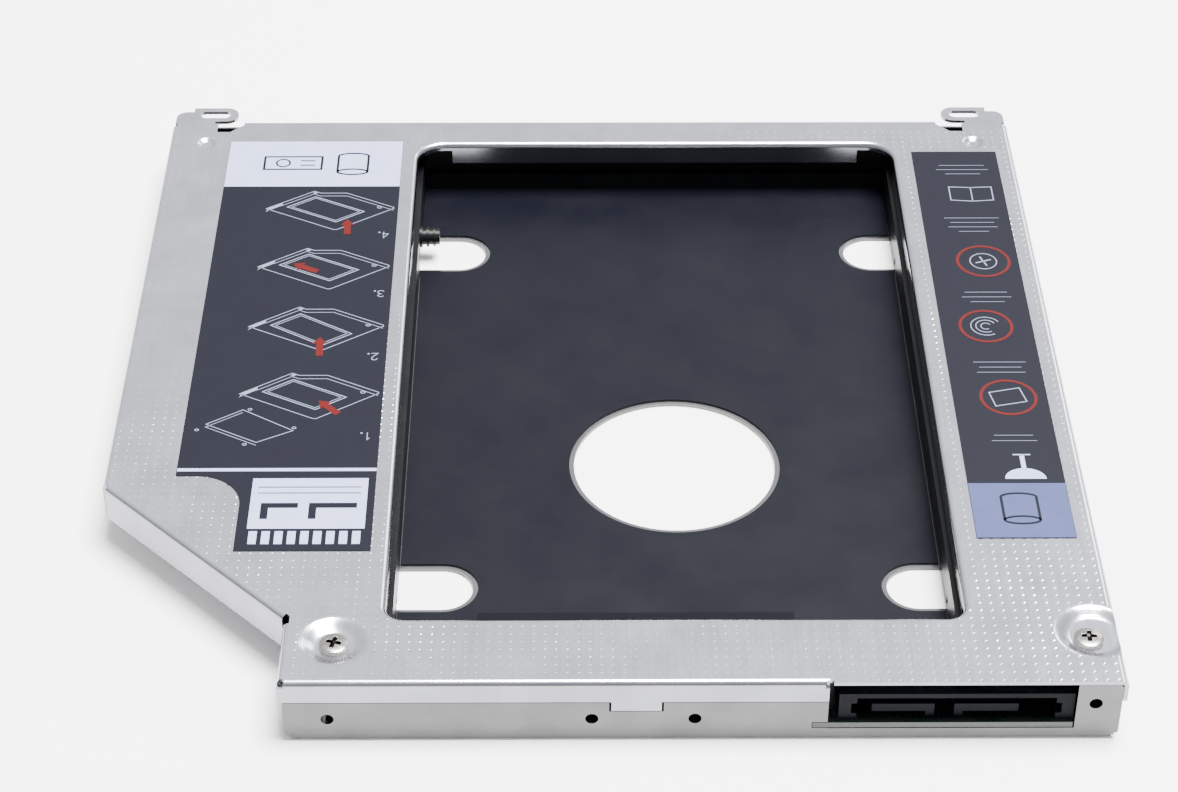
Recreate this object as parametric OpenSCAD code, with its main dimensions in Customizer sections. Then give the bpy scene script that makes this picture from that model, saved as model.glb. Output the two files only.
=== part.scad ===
// Laptop drive caddy: a folded sheet case in the outline of a slim optical drive.
// Its window takes a 2.5 inch drive, and a small board joins the drive's plug to
// the narrow plug that the laptop's bay expects.
// Case frame: x runs across, y from the connector wall to the rear, z up.

/* [Case] */
// Width over the folded side flanges
case_w = 128; // [127:0.5:134]
// Height of the closed case, without its labels
case_h = 9.5; // [9.4:0.1:12.7]
// Thickness of the cover and pan sheet
sheet_t = 0.5; // [0.4:0.05:0.6]
// Inside radius of the folds
bend_r = 0.3; // [0.2:0.05:0.4]
// Gap between the cover's flanges and the pan's walls
sheet_gap = 0.05; // [0.03:0.01:0.1]
// Gap between the pan's wall tops and the cover's folds
lid_gap = 0.1; // [0.05:0.05:0.3]
// Width of the thin wing beside the full-height body
wing_w = 25.5; // [24:0.5:27]
// Thickness of the wing, from the cover's top down
wing_h = 5.3; // [5:0.1:6]
// Depth at which the cut corner meets the wing's side
corner_y = 37.4; // [34:0.2:40]
// Depth at which the cut corner meets the body
corner_body_y = 11.8; // [11:0.2:13]
// Height of the cover's flanges round the body
flange_h = 3.15; // [2.8:0.05:3.6]
// Height of the flange along the cut corner and the wing
wing_flange_h = 5.2; // [4.6:0.1:5.2]

/* [Drive and window] */
// Width of the drive
drive_w = 69.85; // [69.6:0.05:70.1]
// Length of the drive
drive_l = 100.2; // [99.8:0.1:100.6]
// Side gap between the drive and a rail
drive_gap = 0.25; // [0.15:0.05:0.4]
// Side gap between the drive and the window's flange
window_gap = 0.875; // [0.8:0.025:1]
// Spare length of the window, which lets the drive slide on to its plug
drive_slide = 6.8; // [6:0.2:8]
// Cover strip between the connector wall and the window
front_strip = 11.7; // [11.2:0.1:12.2]
// Cover strip behind the window
rear_strip = 6.7; // [6.4:0.1:8]
// Cover strip between the window and the right side
side_strip = 18.4; // [18:0.2:20]
// Radius of the window's rear corners
window_r = 4; // [3:0.5:5]
// Radius of the window's front corners
window_rf = 2.4; // [2:0.2:4]
// Height of the flange folded down round the window
window_flange = 3.4; // [3:0.1:3.8]
// Height of the drawn lip along the window's front and round its corners
corner_lip = 1.2; // [1:0.1:1.6]
// Straight run left without flange beside each rear corner
corner_run = 1; // [0.5:0.25:2]

/* [Ears] */
// Reach of the ears beyond the cover's rear edge
ear_reach = 3.6; // [3.2:0.1:4]
// Reach of the ear's shoulder beyond the rear edge
shoulder_reach = 2.5; // [2:0.1:3]
// Width of the ear's tab
ear_w = 6.9; // [6.5:0.1:7.5]
// Distance from the case's side to the ear's tab
ear_side = 3; // [2.5:0.25:3.5]
// Length of the bezel slot
slot_l = 4.6; // [4.2:0.1:5]
// Width of the bezel slot
slot_w = 1.8; // [1.6:0.1:2]
// Rim of metal between the slot and the ear's rear edge
slot_rim = 1; // [0.8:0.1:1.2]

/* [Rear edge] */
// Pitch of the notches in the rear edge
notch_pitch = 24.7; // [24:0.1:26]
// Width of each notch
notch_w = 6.6; // [5:0.2:8]
// Depth of each notch
notch_d = 0.4; // [0.3:0.05:0.45]
// Number of notches
notch_n = 4; // [2:1:4]

/* [Floor holes] */
// Radius of the push-out hole in the pan
push_r = 13.65; // [12:0.25:15]
// Depth of the push-out hole's centre
push_y = 52.4; // [48:0.4:60]
// Offset of the floor holes' centre line from the bay's centre line
push_dx = 1.2; // [0:0.2:2]
// Width of the D slots
dslot_w = 8; // [7:0.2:10]
// Length of the D slots, with their part under the rails
dslot_l = 11.1; // [9:0.1:12]
// Distance from the floor holes' centre line to the round end of a D slot
dslot_tip = 26.7; // [25:0.1:28]
// Depth of the recess in a rail over a D slot
dslot_back = 1.4; // [1:0.1:1.6]
// Height of the recess in a rail over a D slot
dslot_arch = 2.4; // [2:0.1:2.8]
// Metal rim left bare round the holes by the film
film_rim = 0.65; // [0.4:0.05:0.8]
// Thickness of the insulating film
film_t = 0.2; // [0.15:0.05:0.3]

/* [Drive seat] */
// Height of the drive's underside above the table
seat_z = 0.8; // [0.8:0.05:1.5]
// Width of a rail behind its inner face
rail_w = 4.7; // [4.2:0.1:5]
// Distance from the drive's plug end to its rear side holes
side_hole_y = 90.6; // [90.2:0.2:91]
// Distance from the drive's plug end to its front side holes
side_hole_front = 14; // [13.8:0.1:15]
// Height of the side holes above the drive's underside
side_hole_z = 3; // [2.8:0.1:3.2]
// Radius of the locating pin
pin_r = 1.25; // [1.1:0.05:1.35]
// Length of the locating pin in the drive
pin_l = 2.9; // [2:0.1:3]
// Reach of the rings round the locating pin
pin_ring = 0.4; // [0.2:0.05:0.5]
// Depth of the stop bar's low step
bar_step = 1.6; // [1.2:0.1:2]
// Height of the stop bar's low step
bar_step_z = 3.2; // [2.6:0.1:3.8]

/* [Cover screws] */
// Distance of the left screw from the body's left side
screw_left = 6.45; // [6.3:0.05:7]
// Distance of the right screw from the case's right side
screw_right = 3.7; // [3.4:0.05:3.9]
// Distance of the left screw from the connector wall
screw_y_left = 7.6; // [7.2:0.1:7.8]
// Distance of the right screw from the connector wall
screw_y_right = 8.4; // [8:0.1:8.6]
// Radius of the pressed dimple round the left screw
dimple_r = 4.6; // [4:0.1:4.8]
// Radius of the left dimple's flat seat
dimple_seat = 2.1; // [2:0.1:2.6]
// Radius of the pressed dimple round the right screw
edge_dimple_r = 5; // [4.6:0.1:5.2]
// Radius of the right dimple's flat seat
edge_dimple_seat = 2.9; // [2.8:0.1:3.2]
// Offset of the right dimple's centre from its screw, to the side and to the rear
edge_dimple_shift = 0.7; // [0.5:0.1:0.9]
// Depth of the dimples
dimple_d = 0.9; // [0.8:0.05:1]
// Radius of the small dimples by the ears
pip_r = 1.7; // [1.4:0.1:2]
// Radius of the small dimples' flat bottom
pip_seat = 0.6; // [0.4:0.1:0.8]
// Depth of the small dimples
pip_d = 0.45; // [0.3:0.05:0.5]
// Distance of the small dimples from the case's sides
pip_side = 5.7; // [5:0.1:6]
// Distance of the small dimples from the rear edge
pip_rear = 6.2; // [5.5:0.1:7]
// Nominal radius of the screws' thread
thread_r = 1; // [0.9:0.05:1.1]
// Radius of a cover screw's head
head_r = 1.85; // [1.7:0.05:2]
// Height of a cover screw's head
head_h = 0.75; // [0.6:0.05:0.8]
// Length of a cover screw's shank
shank_l = 5.5; // [4:0.5:6]
// Radius of a board screw's head
board_head_r = 1.75; // [1.6:0.05:1.9]
// Height of a board screw's head
board_head_h = 0.7; // [0.5:0.05:0.8]
// Length of a board screw's shank
board_shank_l = 2.2; // [1.8:0.1:2.6]
// Clearance between a shank and its bore
thread_gap = 0.05; // [0.03:0.01:0.08]
// Radius of the screw posts
post_r = 1.9; // [1.7:0.1:2]
// Wall of a post's neck in the pan's floor
post_neck = 0.5; // [0.4:0.05:0.6]

/* [Connector wall] */
// Height of the low row of tapped holes
wall_hole_z = 3.6; // [3.2:0.1:4]
// Height of the tapped hole at the right
high_hole_z = 5.9; // [5.6:0.1:6.2]
// Radius of the tapped holes
wall_hole_r = 0.8; // [0.75:0.05:0.85]
// Depth of the drawn collar inside a tapped hole
collar_l = 1.4; // [1.2:0.1:1.6]
// Wall of the drawn collar
collar_t = 0.45; // [0.35:0.05:0.55]
// Width of the connector window
plug_win_w = 30; // [29.6:0.2:30.4]
// Distance from the connector window to the right side
plug_win_side = 6; // [5.8:0.1:6.2]
// Height of the connector window's sill
sill_z = 1.9; // [1.8:0.05:1.95]
// Width of the cover's locking tab
tab_w = 6.1; // [5:0.2:7]
// Drop of the locking tab below the flange
tab_drop = 1.45; // [1.2:0.05:1.6]
// Distance of the locking tab from the right side
tab_side = 59.2; // [58:0.2:60]
// Gap round the locking tab
tab_gap = 0.25; // [0.2:0.05:0.4]
// Radius of the wall's lower corners
pan_corner_r = 1.6; // [1:0.1:2]

/* [Board and connectors] */
// Thickness of the circuit board
board_t = 0.8; // [0.6:0.1:1]
// Height of the board's underside above the table
board_z = 2.05; // [2:0.05:2.1]
// Depth of the board behind the connector wall
board_d = 10.8; // [10.4:0.1:11]
// Height of the bay plug's housing above the board
plug_h = 4.15; // [4:0.05:4.4]
// Depth of the bay plug's housing
plug_d = 7; // [6.6:0.1:7.4]
// Wall over the bay plug's mouth
plug_wall = 0.7; // [0.6:0.05:0.9]
// Width of an outer arm of the bay plug
plug_arm = 2.2; // [2:0.1:2.4]
// Thickness of the contact tongues
tongue_t = 1.2; // [1.1:0.05:1.3]
// Height of the tongues' underside above the board
tongue_z = 1.05; // [1:0.05:1.2]
// Width of the key at a tongue's end
tongue_key = 1.1; // [1:0.05:1.2]
// Width of the bay plug's signal tongue
signal_w = 7.6; // [7.6:0.1:9.2]
// Width of the bay plug's power tongue
power_w = 7.8; // [7.6:0.1:8.2]
// Gap between the two tongues
tongue_gap = 2.4; // [1.7:0.1:2.6]
// Width of the drive socket's nose
nose_w = 39.6; // [39.2:0.2:40.4]
// Height of the drive socket's nose
nose_h = 3.2; // [3:0.1:3.4]
// Reach of the nose into the drive
nose_l = 4.8; // [4.4:0.1:5]
// Offset of the socket's centre from the bay's centre line
nose_dx = 4.8; // [4.6:0.1:5]
// Height of the socket's centre above the drive's underside
nose_z = 3.5; // [3.4:0.05:3.6]
// Width of the socket's slot for the drive's power contacts
power_slot_w = 20.2; // [20:0.1:20.6]
// Width of the socket's slot for the drive's signal contacts
signal_slot_w = 10.2; // [10:0.1:10.4]
// Wall between the two slots
slot_wall = 2; // [1.8:0.1:2.2]
// Height of the slots
slot_h = 1.4; // [1.3:0.05:1.5]
// Length of the contacts' tails on the board
tail_l = 1.4; // [1:0.1:1.6]
// Pitch of the capacitors on the board
cap_pitch = 5.5; // [4:0.5:7]
// Length of a capacitor
cap_l = 2; // [1.6:0.1:2.2]
// Width of a capacitor
cap_w = 1.2; // [0.8:0.1:1.3]
// Height of a capacitor
cap_h = 0.8; // [0.6:0.1:1]
// Pitch of the drive socket's contacts
contact_pitch = 1.27; // [1.2:0.01:1.3]
// Width of a contact in the drive socket
contact_w = 0.7; // [0.6:0.05:0.8]
// Pitch of the bay plug's contacts
bay_pitch = 1; // [0.9:0.05:1]
// Width of a contact on the bay plug
bay_contact_w = 0.4; // [0.3:0.05:0.45]
// Thickness of a contact
contact_t = 0.15; // [0.1:0.05:0.2]

/* [Labels] */
// Thickness of the labels
label_t = 0.08; // [0.05:0.01:0.1]
// Margin between a label and the window
label_gap = 2.4; // [2:0.1:3]
// Width of the left label
label_w = 26.2; // [24:0.2:27]
// Depth at which the wide part of the left label starts
label_step_y = 39.3; // [38.6:0.2:42]
// Depth at which the narrow part of the left label starts
label_y = 24.3; // [20:0.2:26]
// Width of the narrow part of the left label
label_foot_w = 17.4; // [16:0.2:19]
// Radius of the left label's inner corner
label_r = 6; // [4:0.5:7]
// Width of the right label
strip_w = 12.8; // [12:0.2:13.4]
// Depth at which the right label starts
strip_y = 26.5; // [22:0.5:30]
// Margin between the labels and the rear of the window
label_rear = 0.7; // [0.5:0.1:1]

/* [Hidden] */
$fn = 64;
eps = 0.01;
far = 200;

// Sheet case
half_w = case_w / 2;
window_w = drive_w + 2 * window_gap;
window_x1 = half_w - side_strip;
window_x0 = window_x1 - window_w;
bay_x = (window_x0 + window_x1) / 2;
window_y0 = front_strip;
window_y1 = front_strip + drive_l + drive_slide;
case_d = window_y1 + rear_strip;
overall_d = case_d + ear_reach;
fold_r = bend_r + sheet_t;
cover_z = case_h - sheet_t;
step_x = -half_w + wing_w;
wing_z = case_h - wing_h;
corner_a = [-half_w, corner_y];
corner_b = [step_x, corner_body_y];
corner_len = norm(corner_b - corner_a);
corner_u = (corner_b - corner_a) / corner_len;
corner_n = [-corner_u[1], corner_u[0]];
corner_turn = atan2(corner_u[1], corner_u[0]);
nest = sheet_t + sheet_gap;
pan_x1 = half_w - nest;
pan_x0 = step_x + nest;
pan_left = -half_w + nest;
pan_y1 = case_d - nest;
pan_top = case_h - fold_r;
flange_z = case_h - flange_h;

// Connector wall
plug_x1 = half_w - plug_win_side;
plug_x0 = plug_x1 - plug_win_w;
tab_x0 = half_w - tab_side - tab_w / 2;
screw_x_left = step_x + screw_left;
screw_x_right = half_w - screw_right;
screw_seat_z = case_h - dimple_d;
wall_holes = [step_x + 5.85, -0.6, 11.9];
cover_screws = [[screw_x_left, screw_y_left], [screw_x_right, screw_y_right]];
left_dimple = cover_screws[0];
right_dimple = cover_screws[1] + [edge_dimple_shift, edge_dimple_shift];
pips = [for (s = [-1, 1]) [s * (half_w - pip_side), case_d - pip_rear]];

// Drive seat
rail_x0 = bay_x - drive_w / 2 - drive_gap;
rail_x1 = bay_x + drive_w / 2 + drive_gap;
rail_y0 = front_strip + 0.4;
rail_y1 = pan_y1 - sheet_t - 0.4;
rail_step_z = case_h - window_flange - 0.2;
film_z = sheet_t + film_t;
drive_y0 = front_strip + 0.1;
hole_x = bay_x + push_dx;
pin_y = drive_y0 + side_hole_y;
front_pin_y = drive_y0 + side_hole_front + 1.4;
pin_z = seat_z + side_hole_z;
dslot_ys = [front_pin_y, pin_y];

// Board and connectors
board_top = board_z + board_t;
board_x0 = bay_x - nose_dx - nose_w / 2 - 4.6;
board_x1 = plug_x1 - 0.2;
board_screw_y = 8.3;
board_holes = [[board_x0 + 2.3, board_screw_y], [plug_x0 - 0.9, board_screw_y]];
housing_x0 = plug_x0 + 1.3;
housing_x1 = plug_x1 - 0.15;
housing_y0 = 0.6;
mouth_d = 4.9;
signal_x0 = housing_x0 + plug_arm + 1.85;
power_x0 = signal_x0 + signal_w + tongue_gap;
nose_x = bay_x - nose_dx;
nose_mid = seat_z + nose_z;
nose_y0 = drive_y0;
socket_y0 = nose_y0 - 6.2;
slots_w = power_slot_w + slot_wall + signal_slot_w;
power_slot = [nose_x - slots_w / 2, power_slot_w];
signal_slot = [nose_x + slots_w / 2 - signal_slot_w, signal_slot_w];

// Everything is drawn in the case frame, then centred on the origin
module in_case() { translate([0, -overall_d / 2, 0]) children(); }

// Quarter of a ring with its corner at the origin
module quarter_ring(r, t) {
    difference() {
        intersection() { circle(r); square(r); }
        circle(r - t);
    }
}

// Folded edge that runs along +x from x0 to x1. The sheet lies at y > fold_r,
// the outer face is at y = 0 and the flange rises from z = 0 to z = h.
// lap is how far the fold reaches into the flat sheet
module fold_up(x0, x1, h, lap = 0) {
    translate([x0, 0, 0]) rotate([90, 0, 90]) linear_extrude(x1 - x0) {
        translate([fold_r, fold_r]) rotate(180) quarter_ring(fold_r, sheet_t);
        translate([0, fold_r]) square([sheet_t, h - fold_r]);
        if (lap > 0) translate([fold_r, 0]) square([lap, sheet_t]);
    }
}

// The same fold hanging down from the cover's sheet
module fold_down(x0, x1, h, lap = 0) {
    translate([0, 0, case_h]) mirror([0, 0, 1]) fold_up(x0, x1, h, lap);
}

// Edge frames: local x runs along the edge and local y points into the sheet
module at_right(x) { translate([x, 0, 0]) rotate(90) children(); }
module at_left(x, y) { translate([x, y, 0]) rotate(-90) children(); }
module at_rear(y) { translate([0, y, 0]) rotate(180) children(); }
module at_corner(inset) {
    shift = corner_a + inset * corner_n;
    translate([shift[0], shift[1], 0]) rotate(corner_turn) children();
}

// Point where the cut corner, moved inwards by inset, crosses a given x
function corner_at(x, inset) =
    let (p = corner_a + inset * corner_n)
    [x, p[1] + (x - p[0]) * corner_u[1] / corner_u[0]];

// Upper face of a pressed dimple: an S-curve from its flat seat up to the sheet
function dimple_curve(r, seat, d, drop = 0) =
    [for (i = [0 : 8]) let (t = i / 8)
        [seat + (r - seat) * t, case_h - drop - d * (1 - t * t * (3 - 2 * t))]];
// Dimple's shell, and the space above it
module dimple_shell(r, seat, d) {
    top = dimple_curve(r, seat, d);
    under = dimple_curve(r, seat, d, sheet_t);
    rotate_extrude() polygon(concat(
        [[0, under[0][1]]], under, [for (i = [8 : -1 : 0]) top[i]], [[0, top[0][1]]]));
}
module dimple_space(r, seat, d) {
    top = dimple_curve(r, seat, d);
    rotate_extrude() polygon(concat([[0, top[0][1]]], top,
                                    [[r, case_h + 1], [0, case_h + 1]]));
}

// Flat sheet of the cover inside its folds
module cover_outline() {
    left = -half_w + fold_r;
    a = corner_at(left, fold_r);
    b = corner_at(step_x + fold_r, fold_r);
    polygon([[step_x + fold_r, fold_r], [half_w - fold_r, fold_r],
             [half_w - fold_r, case_d - fold_r], [left, case_d - fold_r], a, b]);
    translate([plug_x0, 0]) square([half_w - fold_r - plug_x0, fold_r + eps]);
}

// Window in the flat sheet, grown by the folds' radius, in two halves
module window_outline() {
    window_half(window_y0, window_rf, 1);
    window_half(window_y1, window_r, -1);
}
module window_half(edge, r, side) {
    translate([0, edge]) scale([1, side]) {
        translate([window_x0 - fold_r, r])
            square([window_w + 2 * fold_r, (window_y1 - window_y0) / 2 - r + eps]);
        translate([window_x0 + r, -fold_r]) square([window_w - 2 * r, r + fold_r + eps]);
        for (x = [window_x0 + r, window_x1 - r]) translate([x, r]) circle(r + fold_r);
    }
}

// Right ear in plan, seen from above. The left one is its mirror image
module ear_outline() {
    tab_x1 = half_w - ear_side;
    tab_x0 = tab_x1 - ear_w;
    root_x = tab_x0 + ear_w / 2;
    tail_r = (ear_reach + 0.2) / 2;
    shoulder_y = case_d + shoulder_reach;
    side_x = half_w - 0.4;
    corner = 1.6;
    translate([root_x, case_d - fold_r - eps])
        square([side_x - root_x, fold_r + shoulder_reach - corner + eps]);
    translate([root_x, shoulder_y - corner - eps])
        square([side_x - corner - root_x, corner + eps]);
    translate([side_x - corner, shoulder_y - corner]) circle(corner);
    translate([tab_x0 + tail_r, case_d - 0.2])
        square([tab_x1 - tail_r - tab_x0, ear_reach + 0.2]);
    translate([tab_x0 + tail_r, case_d + ear_reach - tail_r]) circle(tail_r);
}
module ear_slot() {
    mid_x = half_w - ear_side - ear_w / 2 + 0.1;
    mid_y = case_d + ear_reach - slot_rim - slot_w / 2;
    run = (slot_l - slot_w) / 2;
    translate([mid_x - run, mid_y - slot_w / 2]) square([2 * run, slot_w]);
    for (s = [-1, 1]) translate([mid_x + s * run, mid_y]) circle(slot_w / 2);
}
// Relief cut that frees the ear's tab from the rear fold
module ear_relief() {
    x0 = half_w - ear_side - ear_w - 1.1;
    polygon([[x0, case_d + 0.1], [x0 + 4, case_d - 0.6], [x0 + 4, case_d - 3.2],
             [x0 + 2, case_d - 3.2], [x0, case_d - 1.2]]);
}

// Drawn lip round one window corner, revolved about the corner's centre
module window_corner(sx, sy) {
    r = sy > 0 ? window_r : window_rf;
    x = sx > 0 ? window_x1 - r : window_x0 + r;
    y = sy > 0 ? window_y1 - r : window_y0 + r;
    translate([x, y, 0]) intersection() {
        rotate_extrude() {
            translate([r + fold_r, case_h - fold_r]) rotate(90)
                quarter_ring(fold_r, sheet_t);
            translate([r, case_h - corner_lip])
                square([sheet_t, corner_lip - fold_r]);
        }
        translate([sx > 0 ? 0 : -far, sy > 0 ? 0 : -far, 0])
            cube([far, far, far]);
    }
}

module top_cover() {
    notch_span = notch_pitch * (notch_n - 1);
    color([0.80, 0.81, 0.84]) in_case() difference() {
        union() {
            // Sheet with its window and ears
            translate([0, 0, cover_z]) linear_extrude(sheet_t) difference() {
                union() {
                    cover_outline();
                    ear_outline();
                    mirror([1, 0]) ear_outline();
                }
                window_outline();
                ear_slot();
                mirror([1, 0]) ear_slot();
            }
            // Front fold, left of the connector window
            fold_down(step_x + fold_r, plug_x0, flange_h);
            translate([step_x, 0, flange_z])
                cube([fold_r + eps, sheet_t, flange_h - fold_r]);
            translate([tab_x0, 0, flange_z - tab_drop])
                cube([tab_w, sheet_t, tab_drop + eps]);
            // Body's left flange, wing flanges and right flange
            at_left(step_x, corner_body_y)
                fold_down(1, corner_body_y - fold_r, flange_h);
            at_corner(0) fold_down(0.6, corner_len - 0.3, wing_flange_h, 0.3);
            at_left(-half_w, case_d - 1.4)
                fold_down(0, case_d - 1.4 - corner_y - 0.4, wing_flange_h);
            at_right(half_w) fold_down(0, case_d - 1.4, flange_h);
            // Rear fold
            at_rear(case_d) fold_down(-half_w + ear_side + ear_w + 1.1,
                                      half_w - ear_side - ear_w - 1.1, flange_h);
            // Window folds
            at_right(window_x0) {
                fold_down(window_y0 + window_rf, window_y1 - window_r, corner_lip);
                fold_down(window_y0 + window_rf + corner_run,
                          window_y1 - window_r - corner_run, window_flange);
            }
            at_left(window_x1, window_y1) {
                run = window_y1 - window_y0;
                fold_down(window_r, run - window_rf, corner_lip);
                fold_down(window_r + corner_run, run - window_rf - corner_run,
                          window_flange);
            }
            at_rear(window_y0)
                fold_down(window_rf - window_x1, -window_x0 - window_rf, corner_lip);
            translate([0, window_y1, 0]) {
                window_fold_rear(window_r, corner_lip);
                window_fold_rear(window_r + corner_run, window_flange);
            }
            for (sx = [-1, 1], sy = [-1, 1]) window_corner(sx, sy);
            // Pressed dimples
            translate(left_dimple) dimple_shell(dimple_r, dimple_seat, dimple_d);
            intersection() {
                translate(right_dimple)
                    dimple_shell(edge_dimple_r, edge_dimple_seat, dimple_d);
                cube([half_w - sheet_t / 2, case_d, case_h]);
            }
            for (p = pips) translate(p) dimple_shell(pip_r, pip_seat, pip_d);
        }
        translate(left_dimple) dimple_space(dimple_r, dimple_seat, dimple_d);
        translate(right_dimple)
            dimple_space(edge_dimple_r, edge_dimple_seat, dimple_d);
        for (p = pips) translate(p) dimple_space(pip_r, pip_seat, pip_d);
        for (p = cover_screws) translate(p) cylinder(h = far, r = thread_r + 0.15);
        // Rear notches
        for (i = [0 : notch_n - 1])
            translate([bay_x - 12.1 - notch_span / 2 + notch_pitch / 2
                       + i * notch_pitch - notch_w / 2, case_d - notch_d, 0])
                cube([notch_w, 1, far]);
        // Relief cuts
        translate([0, 0, -eps]) linear_extrude(far) {
            ear_relief();
            mirror([1, 0]) ear_relief();
        }
        translate([step_x + 0.55, 0.55, cover_z - 0.4]) cylinder(h = 1, r = 0.4);
        translate([plug_x0, 0, cover_z - 0.5]) cylinder(h = 2, r = 0.5);
    }
}

// Fold at the window's rear edge, short of each side by the given run
module window_fold_rear(run, h) {
    fold_down(window_x0 + run, window_x1 - run, h);
}

module bottom_pan() {
    color([0.76, 0.77, 0.80]) in_case() difference() {
        union() {
            // Floor under the body
            translate([pan_x0 + fold_r, fold_r, 0])
                cube([pan_x1 - pan_x0 - 2 * fold_r, pan_y1 - 2 * fold_r, sheet_t]);
            // Connector wall: fold, low wall, and full height at the right
            fold_up(pan_x0 + fold_r, pan_x1 - fold_r, fold_r + eps);
            translate([pan_x0, 0, fold_r])
                cube([plug_x1 - pan_x0, sheet_t, flange_z - lid_gap - fold_r]);
            translate([plug_x1, 0, fold_r])
                cube([pan_x1 - plug_x1, sheet_t, pan_top - fold_r]);
            translate([plug_x1, 0, fold_r])
                cube([pan_x1 - bend_r - plug_x1, sheet_t, cover_z - lid_gap / 2 - fold_r]);
            for (x = wall_holes) wall_collar(x, wall_hole_z);
            wall_collar(screw_x_right, high_hole_z);
            // Right and rear walls
            at_right(pan_x1) fold_up(fold_r, pan_y1 - fold_r, pan_top);
            at_rear(pan_y1) {
                fold_up(-pan_x1 + fold_r, -pan_x0 - fold_r, pan_top);
                translate([-pan_x0 - fold_r - eps, 0, wing_z + fold_r])
                    cube([pan_x0 - pan_left, sheet_t, pan_top - wing_z - fold_r]);
            }
            // Body's left wall, up to the wing behind the cut corner
            at_left(pan_x0, pan_y1)
                fold_up(fold_r, pan_y1 - fold_r, wing_z - bend_r + eps);
            translate([pan_x0, sheet_t + sheet_gap, fold_r])
                cube([sheet_t, corner_body_y - 1.4 - nest, pan_top - fold_r]);
            // Reverse fold into the wing
            wing_fold();
            // Wing floor with its side and corner walls
            translate([0, 0, wing_z]) {
                linear_extrude(sheet_t) wing_outline();
                at_left(pan_left, pan_y1)
                    fold_up(fold_r, pan_y1 - corner_y - 1.2, pan_top - wing_z);
                at_corner(nest)
                    fold_up(1.2, corner_len - 0.7, pan_top - wing_z, 0.3);
            }
        }
        // Holes in the floor
        translate([hole_x, push_y, -1]) cylinder(h = 3, r = push_r);
        translate([0, 0, -1]) linear_extrude(3) dslots(0);
        for (p = concat(cover_screws, board_holes)) translate([p[0], p[1], -1])
            cylinder(h = 3, r = thread_r + post_neck + thread_gap);
        // Room for the pressed dimple in the right wall
        translate([right_dimple[0], right_dimple[1], screw_seat_z - sheet_t - lid_gap])
            cylinder(h = far, r = edge_dimple_r + lid_gap);
        // Rounded lower corners of the connector wall and the side walls
        translate([pan_x0, 0, 0]) corner_cut(pan_corner_r, fold_r);
        translate([pan_x1, 0, 0]) mirror([1, 0, 0]) corner_cut(pan_corner_r, fold_r);
        for (x = [pan_x0 + fold_r, pan_x1 + 1]) translate([x - 1, nest, 0]) rotate(90)
            corner_cut(pan_corner_r - nest, fold_r);
        // Connector window, the board's lug slot and the locking notch
        translate([plug_x0, -1, sill_z]) cube([plug_win_w, 4, far]);
        translate([plug_x0 - 1.9, -1, board_z - 0.1])
            cube([2, 4, board_t + 0.2]);
        translate([tab_x0 - tab_gap, -1, flange_z - tab_drop - lid_gap])
            cube([tab_w + 2 * tab_gap, 4, far]);
        for (x = wall_holes) wall_bore(x, wall_hole_z);
        wall_bore(screw_x_right, high_hole_z);
    }
}

// Cutter for a wall's rounded lower corner, from y = -1 to the given depth
module corner_cut(r, depth) {
    translate([0, depth, 0]) rotate([90, 0, 0]) linear_extrude(depth + 1) difference() {
        translate([-1, -1]) square(r + 1);
        translate([r, r]) circle(r);
    }
}

// Reverse fold between the body's left wall and the wing's floor
module wing_fold() {
    y0 = corner_at(pan_x0, nest + fold_r)[1] + 0.8;
    translate([pan_x0 - bend_r, y0, wing_z - bend_r])
        rotate([90, 0, 180]) mirror([1, 0, 0])
            linear_extrude(pan_y1 - fold_r - y0) quarter_ring(fold_r, sheet_t);
}

// Wing floor inside its folds
module wing_outline() {
    left = pan_left + fold_r;
    right = pan_x0 - bend_r;
    a = corner_at(left, nest + fold_r);
    b = corner_at(right, nest + fold_r);
    polygon([a, b, [right, pan_y1], [left, pan_y1]]);
}

// Drawn collar and tapped bore in the connector wall
module wall_collar(x, z) {
    translate([x, sheet_t - eps, z]) rotate([-90, 0, 0])
        cylinder(h = collar_l - sheet_t + eps, r = wall_hole_r + collar_t);
}
module wall_bore(x, z) {
    translate([x, -1, z]) rotate([-90, 0, 0])
        cylinder(h = collar_l + 2, r = wall_hole_r);
}

// D-shaped openings under the drive's side holes, grown by the given rim
module dslots(grow) {
    r = dslot_w / 2;
    for (y = dslot_ys, side = [-1, 1]) translate([hole_x, y]) scale([side, 1]) {
        translate([dslot_tip + r, 0]) circle(r + grow);
        translate([dslot_tip + r, -r - grow])
            square([dslot_l - r, dslot_w + 2 * grow]);
    }
}

module insulating_film() {
    color([0.20, 0.21, 0.24]) in_case() translate([0, 0, sheet_t])
        linear_extrude(film_t) difference() {
            translate([rail_x0 + 0.1, front_strip + 0.3])
                square([rail_x1 - rail_x0 - 0.2, window_y1 + 0.7 - front_strip]);
            translate([hole_x, push_y]) circle(push_r + film_rim);
            dslots(film_rim);
        }
}

// Rail section: body under the cover, and low part under the window's flange.
// The inner face is at x = 0 and the bay lies at x > 0
module rail_section() {
    under = -(window_gap - drive_gap) - sheet_t - 0.25;
    polygon([[-rail_w, sheet_t], [0, sheet_t], [0, rail_step_z], [under, rail_step_z],
             [under, pan_top], [-rail_w, pan_top]]);
}
module rail() {
    difference() {
        translate([0, rail_y1, 0]) rotate([90, 0, 0])
            linear_extrude(rail_y1 - rail_y0) rail_section();
        for (y = dslot_ys)
            translate([-dslot_back, y - dslot_w / 2 - film_rim, 0])
                cube([dslot_back + 1, dslot_w + 2 * film_rim, dslot_arch]);
    }
}
// Tab that hangs from the rail over the straight end of a D slot
module rail_tab(y) {
    translate([-0.9, y - 3.4, 0.9]) cube([0.9, 8, 1.6]);
}

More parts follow.
